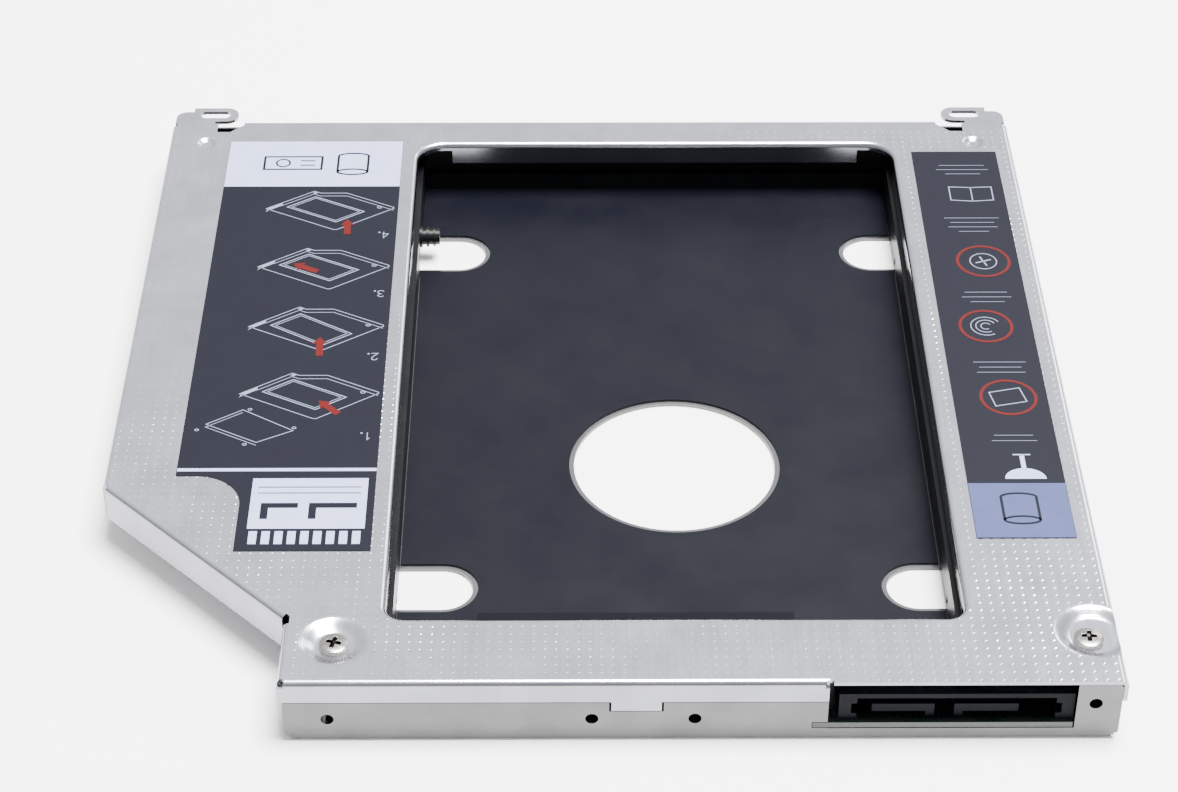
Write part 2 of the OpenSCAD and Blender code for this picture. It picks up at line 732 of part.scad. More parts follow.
module left_rail() {
    color([0.12, 0.12, 0.13]) in_case() translate([rail_x0, 0, 0]) {
        rail();
        rail_tab(front_pin_y);
        translate([-eps, pin_y, pin_z]) rotate([0, 90, 0]) {
            cylinder(h = pin_l + eps, r = pin_r);
            for (i = [0 : 2]) translate([0, 0, i * pin_l / 3])
                cylinder(h = 0.35 + eps, r = pin_r + pin_ring * (1 - i / 4));
        }
    }
}

module right_rail() {
    color([0.12, 0.12, 0.13]) in_case() translate([rail_x1, 0, 0]) mirror([1, 0, 0]) {
        rail();
        rail_tab(front_pin_y);
        rail_tab(pin_y);
    }
}

module stop_bar() {
    y0 = window_y1 + 1.1;
    y1 = pan_y1 - sheet_t - 0.3;
    color([0.10, 0.10, 0.11]) in_case()
        translate([rail_x0 + 0.3, 0, 0]) rotate([90, 0, 90])
            linear_extrude(rail_x1 - rail_x0 - 0.6)
                polygon([[y0, sheet_t], [y1, sheet_t], [y1, pan_top - 0.1],
                         [y0 + bar_step, pan_top - 0.1], [y0 + bar_step, bar_step_z],
                         [y0, bar_step_z]]);
}

module left_label() {
    x1 = window_x0 - label_gap;
    x0 = x1 - label_w;
    foot_x = x1 - label_foot_w;
    y1 = window_y1 + label_rear;
    color([0.22, 0.23, 0.27]) in_case() translate([0, 0, case_h])
        linear_extrude(label_t) {
            translate([x0, label_step_y]) square([label_w, y1 - label_step_y]);
            translate([foot_x, label_y])
                square([label_foot_w, label_step_y - label_y]);
            difference() {
                translate([foot_x - label_r, label_step_y - label_r])
                    square(label_r);
                translate([foot_x - label_r, label_step_y - label_r])
                    circle(label_r);
            }
        }
}

module right_label() {
    x0 = window_x1 + label_gap + 0.5;
    color([0.22, 0.23, 0.27]) in_case() translate([x0, strip_y, case_h])
        cube([strip_w, window_y1 - 2.4 - strip_y, label_t]);
}

// Pan-head screw with a cross recess. Its seat is at z = 0
module pan_screw(hr, hh, shank) {
    difference() {
        union() {
            rotate_extrude() polygon([[0, 0], [hr, 0], [hr, hh * 0.45],
                                      [hr * 0.8, hh * 0.85], [hr * 0.4, hh], [0, hh]]);
            translate([0, 0, -shank]) cylinder(h = shank + eps, r = thread_r - thread_gap);
        }
        for (a = [0, 90]) rotate(a) translate([-hr * 0.55, -0.16, hh * 0.35])
            cube([hr * 1.1, 0.32, hh]);
    }
}
module cover_screw(p) {
    color([0.85, 0.83, 0.78]) in_case() translate([p[0], p[1], screw_seat_z])
        pan_screw(head_r, head_h, shank_l);
}
module cover_screw_left() { cover_screw(cover_screws[0]); }
module cover_screw_right() { cover_screw(cover_screws[1]); }

// Threaded post clinched into the pan's floor, open right through
module clinch_post(r, z) {
    difference() {
        union() {
            cylinder(h = sheet_t + eps, r = thread_r + post_neck);
            translate([0, 0, sheet_t]) cylinder(h = z - sheet_t, r = r);
        }
        translate([0, 0, -1]) cylinder(h = z + 2, r = thread_r);
    }
}
module screw_post(p) {
    color([0.80, 0.78, 0.72]) in_case() translate(p)
        clinch_post(post_r, screw_seat_z - sheet_t);
}
module screw_post_left() { screw_post(cover_screws[0]); }
module screw_post_right() { screw_post(cover_screws[1]); }

module connector_board() {
    y0 = collar_l + 0.2;
    color([0.05, 0.30, 0.20]) in_case() translate([0, 0, board_z])
        difference() {
            linear_extrude(board_t) {
                translate([board_x0, y0]) square([board_x1 - board_x0, board_d - y0]);
                translate([plug_x0 - 1.8, 0])
                    square([board_x1 - plug_x0 + 1.8, y0 + eps]);
            }
            for (p = board_holes) translate([p[0], p[1], -1])
                cylinder(h = 4, r = thread_r + 0.15);
        }
}

module board_standoffs() {
    color([0.80, 0.78, 0.72]) in_case()
        for (p = board_holes) translate(p) clinch_post(post_r, board_z);
}

module board_screws() {
    color([0.85, 0.83, 0.78]) in_case()
        for (p = board_holes) translate([p[0], p[1], board_top])
            pan_screw(board_head_r, board_head_h, board_shank_l);
}

module board_capacitors() {
    color([0.62, 0.50, 0.36]) in_case()
        for (i = [0 : 3])
            translate([nose_x + (i - 2) * cap_pitch, collar_l + 2 * cap_h, board_top])
                cube([cap_l, cap_w, cap_h]);
}

// Plug that faces the laptop: two keyed tongues in an open mouth
module bay_plug_housing() {
    mouth_x0 = housing_x0 + plug_arm;
    mouth_x1 = housing_x1 - plug_arm;
    color([0.10, 0.10, 0.11]) in_case() {
        difference() {
            translate([housing_x0, housing_y0, board_top])
                cube([housing_x1 - housing_x0, plug_d, plug_h]);
            translate([mouth_x0, housing_y0 - 1, board_top - 1])
                cube([mouth_x1 - mouth_x0, mouth_d + 1, plug_h - plug_wall + 1]);
            // Stepped inner faces of the arms
            translate([mouth_x0 - 0.7, housing_y0 - 1, board_top + 1])
                cube([mouth_x1 - mouth_x0 + 1.4, mouth_d + 1, 1.6]);
        }
        for (t = [[signal_x0, signal_w, signal_w - tongue_key], [power_x0, power_w, 0]]) {
            translate([t[0], housing_y0 + 0.3, board_top + tongue_z])
                cube([t[1], mouth_d, tongue_t]);
            translate([t[0] + t[2], housing_y0 + 0.3, board_top + tongue_z - 0.7])
                cube([tongue_key, mouth_d, 0.7 + eps]);
        }
    }
}

// Row of contacts under a tongue, and their tails on the board behind the housing
module bay_contacts(x0, w, n) {
    y0 = housing_y0 + 0.8;
    for (i = [0 : n - 1])
        translate([x0 + w / 2 + (i - (n - 1) / 2) * bay_pitch - bay_contact_w / 2, 0, 0]) {
            translate([0, y0, board_top + tongue_z - contact_t])
                cube([bay_contact_w, mouth_d - 0.9, contact_t]);
            translate([0, housing_y0 + plug_d, board_top])
                cube([bay_contact_w, tail_l, contact_t]);
        }
}
module bay_signal_contacts() {
    color([0.85, 0.68, 0.32]) in_case() bay_contacts(signal_x0, signal_w - tongue_key, 7);
}
module bay_power_contacts() {
    color([0.85, 0.68, 0.32]) in_case() bay_contacts(power_x0 + tongue_key, power_w - tongue_key, 6);
}

// Socket that faces the drive: a nose with two slots on a board-mounted body
module drive_socket_housing() {
    z0 = nose_mid - nose_h / 2;
    color([0.10, 0.10, 0.11]) in_case() difference() {
        union() {
            translate([nose_x - nose_w / 2, nose_y0 - 1, z0])
                cube([nose_w, nose_l + 1, nose_h]);
            translate([nose_x - nose_w / 2, socket_y0, board_top])
                cube([nose_w, board_d - socket_y0, z0 + nose_h + 0.8 - board_top]);
        }
        for (s = [power_slot, signal_slot])
            translate([s[0], nose_y0, nose_mid - slot_h / 2])
                cube([s[1], nose_l + 1, slot_h]);
    }
}

module drive_contacts(slot, n) {
    mid = slot[0] + slot[1] / 2;
    for (i = [0 : n - 1])
        translate([mid + (i - (n - 1) / 2) * contact_pitch - contact_w / 2, 0, 0]) {
            translate([0, nose_y0, nose_mid - slot_h / 2])
                cube([contact_w, nose_l - 0.6, contact_t]);
            translate([0, socket_y0 - tail_l, board_top])
                cube([contact_w, tail_l, contact_t]);
        }
}
module drive_signal_contacts() {
    color([0.85, 0.68, 0.32]) in_case() drive_contacts(signal_slot, 7);
}
module drive_power_contacts() {
    color([0.85, 0.68, 0.32]) in_case() drive_contacts(power_slot, 15);
}

top_cover();
bottom_pan();
insulating_film();
left_rail();
right_rail();
stop_bar();
left_label();
right_label();
cover_screw_left();
cover_screw_right();
screw_post_left();
screw_post_right();
connector_board();
board_standoffs();
board_screws();
board_capacitors();
bay_plug_housing();
bay_signal_contacts();
bay_power_contacts();
drive_socket_housing();
drive_signal_contacts();
drive_power_contacts();
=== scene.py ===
"""Laptop drive caddy: a stamped sheet case with a drop-in window for a small drive.

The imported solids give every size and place. This file dresses them: sheet metal with its
embossed pit grid, moulded plastic, film, printed labels, screws, board and contacts.
"""

import math

import bpy
import numpy as np
from bpy.props import FloatProperty, FloatVectorProperty, IntProperty, PointerProperty
from bpy.types import Operator, Panel, PropertyGroup
from mathutils import Matrix, Vector


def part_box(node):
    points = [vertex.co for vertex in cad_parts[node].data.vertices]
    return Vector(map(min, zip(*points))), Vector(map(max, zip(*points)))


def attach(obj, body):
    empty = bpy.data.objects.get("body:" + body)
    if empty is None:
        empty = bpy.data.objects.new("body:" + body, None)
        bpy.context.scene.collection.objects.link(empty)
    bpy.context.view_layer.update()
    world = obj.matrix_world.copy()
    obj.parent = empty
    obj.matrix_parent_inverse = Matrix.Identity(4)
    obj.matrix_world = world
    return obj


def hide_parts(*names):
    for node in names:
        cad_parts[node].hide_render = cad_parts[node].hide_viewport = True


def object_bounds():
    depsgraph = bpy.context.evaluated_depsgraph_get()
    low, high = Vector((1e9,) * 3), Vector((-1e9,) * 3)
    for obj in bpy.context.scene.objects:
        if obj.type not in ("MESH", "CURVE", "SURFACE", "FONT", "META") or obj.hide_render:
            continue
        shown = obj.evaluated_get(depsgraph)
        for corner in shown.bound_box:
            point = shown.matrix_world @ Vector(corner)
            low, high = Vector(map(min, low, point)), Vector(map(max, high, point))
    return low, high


bl_info = {
    "name": "Laptop drive caddy",
    "version": (1, 0, 0),
    "blender": (4, 5, 0),
    "location": "3D View > Sidebar > Caddy",
    "description": "Dresses a sheet metal laptop drive caddy and sets its studio",
    "category": "Object",
}

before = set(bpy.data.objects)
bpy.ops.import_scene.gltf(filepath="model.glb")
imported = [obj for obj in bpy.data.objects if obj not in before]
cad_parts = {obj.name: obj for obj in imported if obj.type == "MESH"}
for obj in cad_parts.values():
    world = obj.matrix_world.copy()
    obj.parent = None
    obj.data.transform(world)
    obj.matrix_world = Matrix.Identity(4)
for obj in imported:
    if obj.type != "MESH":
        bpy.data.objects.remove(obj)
CAD_BOX = [list(corner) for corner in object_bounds()]
MM = 0.001
# Case millimetres count y from the front of the box, where the frame has it half way back
CASE_Y = CAD_BOX[1][1] / MM
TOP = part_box("top_cover")[1][2]
# The embossing ends this far in front of the pan's rear wall
PLAIN_STRIP = 2.5 * MM
PIT_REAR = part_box("bottom_pan")[1][1] - PLAIN_STRIP
# The edges of a smooth piece stay sharp from this many degrees on
CREASE = 35.0
# Width of the camera's sensor, in millimetres
SENSOR = 36.0


def linear(hex_colour):
    """sRGB hex colour as linear red, green, blue."""
    c = np.array([int(hex_colour[i:i + 2], 16) for i in (1, 3, 5)]) / 255.0
    c = np.where(c <= 0.04045, c / 12.92, ((c + 0.055) / 1.055) ** 2.4)
    return tuple(float(v) for v in c)


def span(node):
    """Lowest and highest corner of a node, in case millimetres."""
    low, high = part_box(node)
    shift = np.array([0.0, CASE_Y, 0.0])
    return np.array(low) / MM + shift, np.array(high) / MM + shift


# ---------------------------------------------------------------- sizes and colours


class CaddySheet(PropertyGroup):
    """Sheet metal of the cover and pan."""

    sheet_colour: FloatVectorProperty(
        name="Sheet colour", description="Bright rolled sheet", subtype="COLOR",
        default=linear("#EBEDF8"), min=0, max=1)
    pan_colour: FloatVectorProperty(
        name="Pan colour", description="Plain sheet of the pan", subtype="COLOR",
        default=linear("#A2A1A4"), min=0, max=1)
    # Painted shade: the share of the base colour left on upright folded walls and dimple
    # slopes
    painted_fold_shade: FloatProperty(
        name="Painted fold shade", description="Brightness left on the folded walls",
        subtype="FACTOR", default=0.28, min=0, max=1)
    pit_pitch: FloatProperty(
        name="Pit pitch", description="Spacing of the embossed pits", unit="LENGTH",
        default=1.38 * MM, min=0.5 * MM, max=5 * MM)
    pit_radius: FloatProperty(
        name="Pit radius", description="Radius of one pit", unit="LENGTH",
        default=0.28 * MM, min=0.05 * MM, max=1 * MM)
    pit_depth: FloatProperty(
        name="Pit depth", description="Depth of one pit", unit="LENGTH",
        default=0.06 * MM, min=0.0, max=0.3 * MM)


class CaddyPlastic(PropertyGroup):
    """Moulded plastic and film."""

    rail_colour: FloatVectorProperty(
        name="Rail colour", description="Black moulded rails", subtype="COLOR",
        default=linear("#08090B"), min=0, max=1)
    housing_colour: FloatVectorProperty(
        name="Housing colour", description="Black moulded connectors", subtype="COLOR",
        default=linear("#07080E"), min=0, max=1)
    film_colour: FloatVectorProperty(
        name="Film colour", description="Dark film on the floor", subtype="COLOR",
        default=linear("#05060E"), min=0, max=1)


class CaddyBoard(PropertyGroup):
    """Circuit board and what is on it."""

    board_colour: FloatVectorProperty(
        name="Board colour", description="Green solder mask", subtype="COLOR",
        default=linear("#060E0D"), min=0, max=1)
    contact_colour: FloatVectorProperty(
        name="Contact colour", description="Gold flash of the contacts",
        subtype="COLOR", default=linear("#E0B45C"), min=0, max=1)
    chip_colour: FloatVectorProperty(
        name="Chip colour", description="Ceramic of the capacitors", subtype="COLOR",
        default=linear("#9A7B58"), min=0, max=1)
    post_colour: FloatVectorProperty(
        name="Post colour", description="Near-black posts", subtype="COLOR",
        default=linear("#2A2928"), min=0, max=1)


class CaddyScrew(PropertyGroup):
    """Cross-recess screws."""

    screw_colour: FloatVectorProperty(
        name="Screw colour", description="Nickel plate", subtype="COLOR",
        default=linear("#A9A6A1"), min=0, max=1)
    recess_reach: FloatProperty(
        name="Recess reach", description="Reach of the cross from the screw's axis",
        unit="LENGTH", default=0.95 * MM, min=0.3 * MM, max=2 * MM)
    recess_width: FloatProperty(
        name="Recess width", description="Width of one arm of the cross", unit="LENGTH",
        default=0.48 * MM, min=0.1 * MM, max=1 * MM)
    recess_depth: FloatProperty(
        name="Recess depth", description="Depth of the cross at the axis", unit="LENGTH",
        default=0.5 * MM, min=0.1 * MM, max=1 * MM)
    head_height: FloatProperty(
        name="Head height", description="Height of a head over its seat", unit="LENGTH",
        default=0.75 * MM, min=0.3 * MM, max=2 * MM)
    rings: IntProperty(
        name="Rings", description="Rings of points on a head", default=44, min=8, max=200)
    turns: IntProperty(
        name="Turns", description="Points round a ring", default=128, min=16, max=512)


class CaddyPrint(PropertyGroup):
    """Printed labels."""

    label_colour: FloatVectorProperty(
        name="Label colour", description="Dark ground of the labels", subtype="COLOR",
        default=linear("#0C0D16"), min=0, max=1)
    ink_colour: FloatVectorProperty(
        name="Ink colour", description="White printing ink", subtype="COLOR",
        default=linear("#98A0C2"), min=0, max=1)
    line_colour: FloatVectorProperty(
        name="Line colour", description="Thin lines, where the ink is screened",
        subtype="COLOR", default=linear("#6E7385"), min=0, max=1)
    accent_colour: FloatVectorProperty(
        name="Accent colour", description="Red printing ink", subtype="COLOR",
        default=linear("#470D0C"), min=0, max=1)
    panel_colour: FloatVectorProperty(
        name="Panel colour", description="Grey panel of the right label", subtype="COLOR",
        default=linear("#3C4366"), min=0, max=1)
    ink_height: FloatProperty(
        name="Ink height", description="Thickness of the ink", unit="LENGTH",
        default=0.015 * MM, min=0.001 * MM, max=0.1 * MM)
    line_width: FloatProperty(
        name="Line width", description="Width of the drawings' lines", unit="LENGTH",
        default=0.12 * MM, min=0.05 * MM, max=1 * MM)


class CaddyStage(PropertyGroup):
    """Floor, lights and camera."""

    floor_colour: FloatVectorProperty(
        name="Floor colour", description="Plain pale floor", subtype="COLOR",
        default=linear("#FFFFFF"), min=0, max=1)
    sky_colour: FloatVectorProperty(
        name="Sky colour", description="Light from all round", subtype="COLOR",
        default=(0.97, 0.98, 1.0), min=0, max=1)
    sky_strength: FloatProperty(
        name="Sky strength", description="Strength of the light from all round",
        default=1.1, min=0, max=10)
    lens: FloatProperty(
        name="Lens", description="Focal length on a 36 mm sensor", default=89.42, min=10,
        max=300)
    place: FloatVectorProperty(
        name="Camera place", description="Where the camera stands", subtype="TRANSLATION",
        unit="LENGTH", default=(-3.062 * MM, -320.613 * MM, 251.54 * MM))
    turn: FloatVectorProperty(
        name="Camera turn", description="Pitch down, yaw and roll", subtype="EULER",
        default=(math.radians(37.775), math.radians(-0.451), math.radians(-0.162)))


# ---------------------------------------------------------------- meshes


def add_object(name, points, faces, slot, smooth=True):
    """A mesh object from points in case millimetres, riding on the case."""
    mesh = bpy.data.meshes.new(name)
    mesh.from_pydata(((points - [0.0, CASE_Y, 0.0]) * MM).tolist(), [], faces)
    mesh.validate()
    mesh.update()
    if smooth:
        mesh.shade_smooth()
        mesh.set_sharp_from_angle(angle=math.radians(CREASE))
    piece = bpy.data.objects.new(name, mesh)
    bpy.context.scene.collection.objects.link(piece)
    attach(piece, "root")
    return piece


def joined(shapes):
    """Several (points, faces) shapes as one: the faces of each count on from the points
    of those before it."""
    starts = np.cumsum([0] + [len(points) for points, _ in shapes])
    faces = [(np.array(face) + start).tolist()
             for start, (_, part) in zip(starts, shapes) for face in part]
    return np.concatenate([points for points, _ in shapes]), faces


def ribbon(path, width, z0, z1, closed=False):
    """Flat strip along a line of points: each point is moved half the width to either
    side along the mean normal of its two segments, over the cosine of half their turn."""
    least_cosine, least_length = 0.4, 1e-6
    n = len(path)
    step = np.roll(path, -1, 0) - path
    if not closed:
        step[-1] = step[-2]
    step /= np.linalg.norm(step, axis=1)[:, None]
    before = np.roll(step, 1, 0)
    if not closed:
        before[0] = step[0]
    side = np.stack([-(step + before)[:, 1], (step + before)[:, 0]], -1)
    side /= np.maximum(np.linalg.norm(side, axis=1), least_length)[:, None]
    normal = np.stack([-step[:, 1], step[:, 0]], -1)
    stretch = 1 / np.clip((side * normal).sum(1), least_cosine, 1)
    reach = side * (stretch * width / 2)[:, None]
    left, right = path + reach, path - reach
    low, high = np.full(n, z0), np.full(n, z1)
    points = np.stack([np.c_[left, low], np.c_[right, low], np.c_[right, high],
                       np.c_[left, high]], 1).reshape(-1, 3)
    # Four points stand at each place of the path: i and j are places, k and m points
    i = np.arange(n if closed else n - 1)[:, None]
    j = (i + 1) % n
    k = np.arange(4)[None, :]
    m = (k + 1) % 4
    quads = np.stack([i * 4 + k, i * 4 + m, j * 4 + m, j * 4 + k], -1)
    faces = quads.reshape(-1, 4)[:, ::-1].tolist()
    if not closed:
        faces += [[0, 1, 2, 3], [4 * n - 1, 4 * n - 2, 4 * n - 3, 4 * n - 4]]
    return points, faces


def plate(outline, z0, z1):
    """Flat plate: the outline's points at two heights, walled and capped."""
    n = len(outline)
    points = np.r_[np.c_[outline, np.full(n, z0)], np.c_[outline, np.full(n, z1)]]
    i = np.arange(n)
    j = (i + 1) % n
    walls = np.stack([i, j, j + n, i + n], -1).tolist()
    return points, walls + [list(range(n))[::-1], list(range(n, 2 * n))]


def arc(x, y, radius, start, end, count=33, squash=1.0):
    """Points (x + r cos a, y + squash r sin a), with a from start to end in degrees."""
    a = np.radians(np.linspace(start, end, count))
    return np.c_[x + radius * np.cos(a), y + squash * radius * np.sin(a)]


def box_outline(x0, y0, x1, y1):
    """Corners of a box, from (x0, y0) by way of (x1, y0)."""
    return np.array([[x0, y0], [x1, y0], [x1, y1], [x0, y1]], float)


# ---------------------------------------------------------------- materials


def add_node(tree, kind, inputs=None, **settings):
    """Adds a shader node with its settings. An input takes a plain value, the socket
    that is linked to it, or a node, whose first output is linked."""
    made = tree.nodes.new(kind)
    for key, value in settings.items():
        setattr(made, key, value)
    for key, value in (inputs or {}).items():
        if isinstance(value, bpy.types.Node):
            value = value.outputs[0]
        if isinstance(value, bpy.types.NodeSocket):
            tree.links.new(value, made.inputs[key])
        else:
            made.inputs[key].default_value = value
    return made


def new_material(name):
    """An empty material and its node tree."""
    mat = bpy.data.materials.get(name) or bpy.data.materials.new(name)
    mat.use_nodes = True
    mat.node_tree.nodes.clear()
    return mat, mat.node_tree


def finish_material(tree, sockets):
    """Gives the tree its shader, with plain or linked sockets, and its output."""
    shader = add_node(tree, "ShaderNodeBsdfPrincipled", sockets)
    add_node(tree, "ShaderNodeOutputMaterial", {"Surface": shader})


def grain(tree, size_mm, low, high, stretch=(1.0, 1.0, 1.0), seed=0.0):
    """Noise on Object coordinates with blotches of this size, from low to high. A
    stretch below 1 draws them out along that axis."""
    place = add_node(tree, "ShaderNodeTexCoord").outputs["Object"]
    turned = add_node(tree, "ShaderNodeMapping", {
        "Vector": place, "Scale": stretch, "Location": (seed, seed, 0.0)})
    noise = add_node(tree, "ShaderNodeTexNoise", {
        "Vector": turned, "Scale": 1 / (size_mm * MM), "Detail": 4.0, "Roughness": 0.6})
    return add_node(tree, "ShaderNodeMapRange", {
        "Value": noise, "From Min": 0.3, "From Max": 0.7, "To Min": low, "To Max": high})


def tinted(tree, colour, factor):
    """The colour times a factor that varies over the surface."""
    return add_node(tree, "ShaderNodeVectorMath", {0: tuple(colour), "Scale": factor},
                    operation="SCALE")


def rolled_sheet(name, colour, props, embossed=False):
    """Bright rolled aluminium: a soft broad sheen, faint streaks along the rolling
    direction and the slow swell that thin sheet takes when it is pressed."""
    mat, tree = new_material(name)
    # Painted shade: the base colour is darkened on the upright folded walls and on the
    # dimple slopes, the more the surface normal leans from vertical, to damp what they
    # reflect
    surface = add_node(tree, "ShaderNodeTexCoord").outputs["Normal"]
    facing = add_node(tree, "ShaderNodeSeparateXYZ", {0: surface}).outputs["Z"]
    flatness = add_node(tree, "ShaderNodeMath", {0: facing}, operation="ABSOLUTE")
    painted_wall_shade = add_node(tree, "ShaderNodeMapRange", {
        "Value": flatness, "From Min": 0.6, "From Max": 0.97,
        "To Min": props.painted_fold_shade, "To Max": 1.0})
    cloud = grain(tree, 6.25, 0.84, 1.04, seed=3.0)
    # Random tone of the sheet times the painted shade of the upright walls
    dull = add_node(tree, "ShaderNodeMath", {0: cloud, 1: painted_wall_shade},
                    operation="MULTIPLY")
    # The streaks are drawn out 25 times along y
    streaks = grain(tree, 0.4, 0.17, 0.22, stretch=(1.0, 0.04, 1.0))
    swell = add_node(tree, "ShaderNodeBump", {
        "Strength": 0.5, "Distance": 0.06 * MM,
        "Height": grain(tree, 28.6, 0.0, 1.0, seed=5.0)})
    # Rolling lines are a few hundredths of a millimetre wide: drawn coarser, to show
    lines = add_node(tree, "ShaderNodeBump", {
        "Strength": 0.2, "Distance": 0.0015 * MM, "Normal": swell,
        "Height": grain(tree, 0.333, 0.0, 1.0, stretch=(1.0, 0.1, 1.0), seed=7.0)})
    finish_material(tree, {
        "Base Color": tinted(tree, colour, dull), "Metallic": 1.0, "Roughness": streaks,
        "Normal": embossed_pits(tree, props, lines) if embossed else lines})
    return mat


def embossed_pits(tree, props, under):
    """Square grid of round pits, embossed in the coil. They show on the flat top alone:
    the folds and dimples were pressed later and flattened them. A pit's depth falls
    smoothly from its centre to its edge."""
    place = add_node(tree, "ShaderNodeTexCoord").outputs["Object"]
    per_metre = 1 / props.pit_pitch
    cell = add_node(tree, "ShaderNodeVectorMath", {
        0: place, 1: (per_metre, per_metre, 0.0)}, operation="MULTIPLY")
    part = add_node(tree, "ShaderNodeVectorMath", {0: cell}, operation="FRACTION")
    centred = add_node(tree, "ShaderNodeVectorMath", {0: part, 1: (0.5, 0.5, 0.0)},
                       operation="SUBTRACT")
    reach = add_node(tree, "ShaderNodeVectorMath", {0: centred}, operation="LENGTH")
    pit = add_node(tree, "ShaderNodeMapRange", {
        "Value": reach.outputs["Value"], "From Min": 0.0,
        "From Max": props.pit_radius / props.pit_pitch, "To Min": 1.0, "To Max": 0.0},
        interpolation_type="SMOOTHSTEP")
    spot = add_node(tree, "ShaderNodeSeparateXYZ", {0: place})
    on_top = add_node(tree, "ShaderNodeMath", {0: spot.outputs["Z"], 1: TOP - 0.03 * MM},
                      operation="GREATER_THAN")
    in_front = add_node(tree, "ShaderNodeMath", {0: spot.outputs["Y"], 1: PIT_REAR},
                        operation="LESS_THAN")
    # The roll was worn, so some patches are pressed less
    depth = grain(tree, 25.0, 0.2, 1.25, seed=11.0)
    for limit in (pit, on_top, in_front):
        depth = add_node(tree, "ShaderNodeMath", {0: depth, 1: limit},
                         operation="MULTIPLY")
    return add_node(tree, "ShaderNodeBump", {
        "Strength": 1.0, "Distance": props.pit_depth, "Height": depth, "Normal": under},
        invert=True)


def moulded_plastic(name, colour, roughness, grain_mm, specular):
    """Black plastic, injection moulded in a spark-eroded mould: an even fine grain that
    breaks the light up. The real grain is about half as coarse as it is drawn."""
    mat, tree = new_material(name)
    bump = add_node(tree, "ShaderNodeBump", {
        "Strength": 0.35, "Distance": 0.01 * MM,
        "Height": grain(tree, grain_mm, 0.0, 1.0)})
    finish_material(tree, {
        "Base Color": (*colour, 1.0), "IOR": 1.5, "Specular IOR Level": specular,
        "Roughness": grain(tree, 6.67, roughness - 0.05, roughness + 0.06),
        "Normal": bump})
    return mat


def insulating_film(colour):
    """Black polyester film with a matt coat, glued down: a dull sheen and slow waves."""
    mat, tree = new_material("matt_polyester_film")
    wave = add_node(tree, "ShaderNodeBump", {
        "Strength": 0.3, "Distance": 0.1 * MM,
        "Height": grain(tree, 22.2, 0.0, 1.0, stretch=(1.0, 0.6, 1.0))})
    # The coat's tooth is finer than this: drawn coarser, to show
    tooth = add_node(tree, "ShaderNodeBump", {
        "Strength": 0.2, "Distance": 0.005 * MM, "Normal": wave,
        "Height": grain(tree, 0.111, 0.0, 1.0)})
    finish_material(tree, {
        "Base Color": (*colour, 1.0), "IOR": 1.6, "Specular IOR Level": 0.1,
        "Roughness": grain(tree, 11.1, 0.38, 0.5), "Normal": tooth})
    return mat


def matt_skin(name, colour, roughness=0.5):
    """Offset ink under a satin laminate, or fired ceramic: an even colour with faint
    blotches and a fine tooth. The tooth is drawn coarser than it is, to show."""
    mat, tree = new_material(name)
    tooth = add_node(tree, "ShaderNodeBump", {
        "Strength": 0.2, "Distance": 0.004 * MM, "Height": grain(tree, 0.2, 0.0, 1.0)})
    finish_material(tree, {
        "Base Color": tinted(tree, colour, grain(tree, 4.55, 0.94, 1.04)),
        "Roughness": roughness, "IOR": 1.5, "Specular IOR Level": 0.12,
        "Normal": tooth})
    return mat


def plated_metal(name, colour, roughness, recess=False):
    """Barrel plated or near-black metal: bright, with soft small scuffs and a fine
    pitting, which is drawn coarser than it is, to show. With a recess, shade is painted
    into the driver recess: the colour falls almost to black where the piece's own recess
    attribute rises to 1."""
    mat, tree = new_material(name)
    base = (*colour, 1.0)
    if recess:
        deep = add_node(tree, "ShaderNodeAttribute", attribute_name="recess")
        # Painted shade: the colour darkens almost to black in the cross recess
        recess_shade_factor = add_node(tree, "ShaderNodeMapRange", {
            "Value": deep.outputs["Fac"], "From Min": 0.02, "From Max": 0.18,
            "To Min": 1.0, "To Max": 0.03})
        base = tinted(tree, colour, recess_shade_factor)
    bump = add_node(tree, "ShaderNodeBump", {
        "Strength": 0.2, "Distance": 0.005 * MM,
        "Height": grain(tree, 0.167, 0.0, 1.0, seed=2.0)})
    finish_material(tree, {
        "Base Color": base, "Metallic": 1.0,
        "Roughness": grain(tree, 0.4, roughness - 0.06, roughness + 0.12),
        "Normal": bump})
    return mat


def solder_mask(colour):
    """Green solder mask on glass cloth: glossy, with the cloth's weave, about half a
    millimetre, just showing."""
    mat, tree = new_material("fr4_green_solder_mask")
    weave = add_node(tree, "ShaderNodeBump", {
        "Strength": 0.3, "Distance": 0.01 * MM, "Height": grain(tree, 0.556, 0.0, 1.0)})
    finish_material(tree, {
        "Base Color": (*colour, 1.0), "IOR": 1.55,
        "Roughness": grain(tree, 3.33, 0.22, 0.36), "Normal": weave})
    return mat


def set_material(material, *names):
    """Gives solids of the frame their material."""
    for name in names:
        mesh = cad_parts[name].data
        mesh.materials.clear()
        mesh.materials.append(material)


# ---------------------------------------------------------------- solids of the frame


class CADDY_OT_sheet(Operator):
    """Finishes the cover and the pan as embossed and plain rolled sheet"""

    bl_idname = "caddy.sheet"
    bl_label = "Finish the sheet case"

    def execute(self, context):
        props = context.scene.caddy_sheet
        set_material(rolled_sheet("embossed_aluminium_sheet", props.sheet_colour, props,
                                  embossed=True), "top_cover")
        set_material(rolled_sheet("plain_aluminium_sheet", props.pan_colour, props),
                     "bottom_pan")
        return {"FINISHED"}


